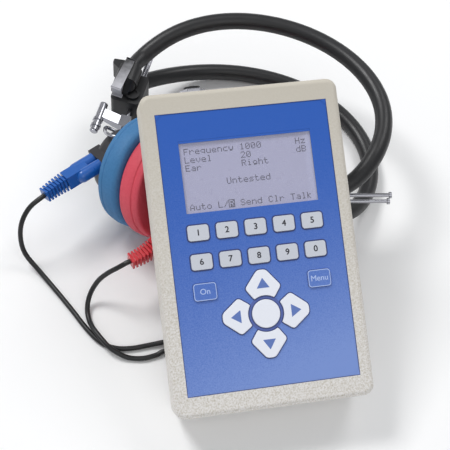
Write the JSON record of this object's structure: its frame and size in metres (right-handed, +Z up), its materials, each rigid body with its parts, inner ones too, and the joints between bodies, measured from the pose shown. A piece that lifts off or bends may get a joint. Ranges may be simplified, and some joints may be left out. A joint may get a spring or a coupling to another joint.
{
  "type": "screening audiometer with headset",
  "caption": "Hand-held screening audiometer with a display and keypad, leaning on its two-band headset with one blue and one red earphone and a coiled lead.",
  "frame": {"origin": "on the table, under the middle of the bounding box of everything but the leads", "axes": "+X along the lower edge of the hand-held unit to its right-hand side, +Y from that edge towards its top end and the headband's arch, +Z up"},
  "size_m": [0.2361, 0.2675, 0.1196],
  "materials": {
    "case": "fine texture",
    "panel": "printed satin film",
    "window": "clear",
    "display": "grey-lavender liquid crystal",
    "key_cap": "satin",
    "soft_key": "satin",
    "board": "solder mask",
    "steel": "plated",
    "bright": "polished",
    "jack_body": "plain",
    "cell": "sleeved",
    "band_black": "satin",
    "shell_grey": "satin",
    "rubber_blue": "moulded",
    "rubber_red": "moulded",
    "plug_blue": "moulded",
    "plug_red": "moulded",
    "lead_black": "satin"
  },
  "bodies": {
    "headband": {"upper_sleeve": "band_black", "lower_sleeve": "band_black", "band_springs": "steel", "blue_block": "band_black", "red_block": "band_black", "blue_lead": "lead_black", "red_lead": "lead_black", "lead_joint": "lead_black", "trunk_start": "lead_black", "trunk_coil": "lead_black", "trunk_tail": "lead_black", "jack_plug": "bright"},
    "handset": {"front_case": "case", "rear_case": "case", "control_panel": "panel", "display_window": "window", "display_glass": "display", "display_frame": "steel", "display_board": "board", "key_board": "board", "snap_domes": "steel", "main_board": "board", "headset_jack": "jack_body", "jack_nut": "bright", "battery_cells": "cell", "battery_contacts": "steel", "handset_screws": "steel"},
    "battery_door": {"battery_door": "case"},
    "key_1": {"key_1": "key_cap"},
    "key_2": {"key_2": "key_cap"},
    "key_3": {"key_3": "key_cap"},
    "key_4": {"key_4": "key_cap"},
    "key_5": {"key_5": "key_cap"},
    "key_6": {"key_6": "key_cap"},
    "key_7": {"key_7": "key_cap"},
    "key_8": {"key_8": "key_cap"},
    "key_9": {"key_9": "key_cap"},
    "key_0": {"key_0": "key_cap"},
    "key_up": {"key_up": "key_cap"},
    "key_left": {"key_left": "key_cap"},
    "key_down": {"key_down": "key_cap"},
    "key_right": {"key_right": "key_cap"},
    "key_centre": {"key_centre": "key_cap"},
    "key_soft_left": {"key_soft_left": "soft_key"},
    "key_soft_right": {"key_soft_right": "soft_key"},
    "blue_earphone": {"blue_yoke": "bright", "blue_clamp": "bright", "blue_shell": "shell_grey", "blue_capsule": "shell_grey", "blue_cushion": "rubber_blue", "blue_plug": "plug_blue", "blue_plug_pins": "bright"},
    "red_earphone": {"red_yoke": "bright", "red_clamp": "bright", "red_shell": "shell_grey", "red_capsule": "shell_grey", "red_cushion": "rubber_red", "red_plug": "plug_red", "red_plug_pins": "bright"}
  },
  "joints": [
    {"name": "handset_lift", "type": "slide", "parent": "headband", "child": "handset", "axis": [0, 0, 1], "range_m": [0, 0.2]},
    {"name": "battery_door_slide", "type": "slide", "parent": "handset", "child": "battery_door", "axis": [0, -0.8616, -0.5075], "range_m": [0, 0.02]},
    {"name": "key_1_press", "type": "slide", "parent": "handset", "child": "key_1", "axis": [0, 0.5075, -0.8616], "range_m": [0, 0.0005], "stiffness_N_per_m": 300},
    {"name": "key_2_press", "type": "slide", "parent": "handset", "child": "key_2", "axis": [0, 0.5075, -0.8616], "range_m": [0, 0.0005], "stiffness_N_per_m": 300},
    {"name": "key_3_press", "type": "slide", "parent": "handset", "child": "key_3", "axis": [0, 0.5075, -0.8616], "range_m": [0, 0.0005], "stiffness_N_per_m": 300},
    {"name": "key_4_press", "type": "slide", "parent": "handset", "child": "key_4", "axis": [0, 0.5075, -0.8616], "range_m": [0, 0.0005], "stiffness_N_per_m": 300},
    {"name": "key_5_press", "type": "slide", "parent": "handset", "child": "key_5", "axis": [0, 0.5075, -0.8616], "range_m": [0, 0.0005], "stiffness_N_per_m": 300},
    {"name": "key_6_press", "type": "slide", "parent": "handset", "child": "key_6", "axis": [0, 0.5075, -0.8616], "range_m": [0, 0.0005], "stiffness_N_per_m": 300},
    {"name": "key_7_press", "type": "slide", "parent": "handset", "child": "key_7", "axis": [0, 0.5075, -0.8616], "range_m": [0, 0.0005], "stiffness_N_per_m": 300},
    {"name": "key_8_press", "type": "slide", "parent": "handset", "child": "key_8", "axis": [0, 0.5075, -0.8616], "range_m": [0, 0.0005], "stiffness_N_per_m": 300},
    {"name": "key_9_press", "type": "slide", "parent": "handset", "child": "key_9", "axis": [0, 0.5075, -0.8616], "range_m": [0, 0.0005], "stiffness_N_per_m": 300},
    {"name": "key_0_press", "type": "slide", "parent": "handset", "child": "key_0", "axis": [0, 0.5075, -0.8616], "range_m": [0, 0.0005], "stiffness_N_per_m": 300},
    {"name": "key_up_press", "type": "slide", "parent": "handset", "child": "key_up", "axis": [0, 0.5075, -0.8616], "range_m": [0, 0.0005], "stiffness_N_per_m": 300},
    {"name": "key_left_press", "type": "slide", "parent": "handset", "child": "key_left", "axis": [0, 0.5075, -0.8616], "range_m": [0, 0.0005], "stiffness_N_per_m": 300},
    {"name": "key_down_press", "type": "slide", "parent": "handset", "child": "key_down", "axis": [0, 0.5075, -0.8616], "range_m": [0, 0.0005], "stiffness_N_per_m": 300},
    {"name": "key_right_press", "type": "slide", "parent": "handset", "child": "key_right", "axis": [0, 0.5075, -0.8616], "range_m": [0, 0.0005], "stiffness_N_per_m": 300},
    {"name": "key_centre_press", "type": "slide", "parent": "handset", "child": "key_centre", "axis": [0, 0.5075, -0.8616], "range_m": [0, 0.0005], "stiffness_N_per_m": 300},
    {"name": "key_soft_left_press", "type": "slide", "parent": "handset", "child": "key_soft_left", "axis": [0, 0.5075, -0.8616], "range_m": [0, 0.0005], "stiffness_N_per_m": 300},
    {"name": "key_soft_right_press", "type": "slide", "parent": "handset", "child": "key_soft_right", "axis": [0, 0.5075, -0.8616], "range_m": [0, 0.0005], "stiffness_N_per_m": 300},
    {"name": "blue_rods_slide", "type": "slide", "parent": "headband", "child": "blue_earphone", "axis": [0.3987, 0.9171, 0], "range_m": [0, 0.006]},
    {"name": "red_rods_slide", "type": "slide", "parent": "headband", "child": "red_earphone", "axis": [0.9914, -0.1305, 0], "range_m": [0, 0.01]}
  ]
}
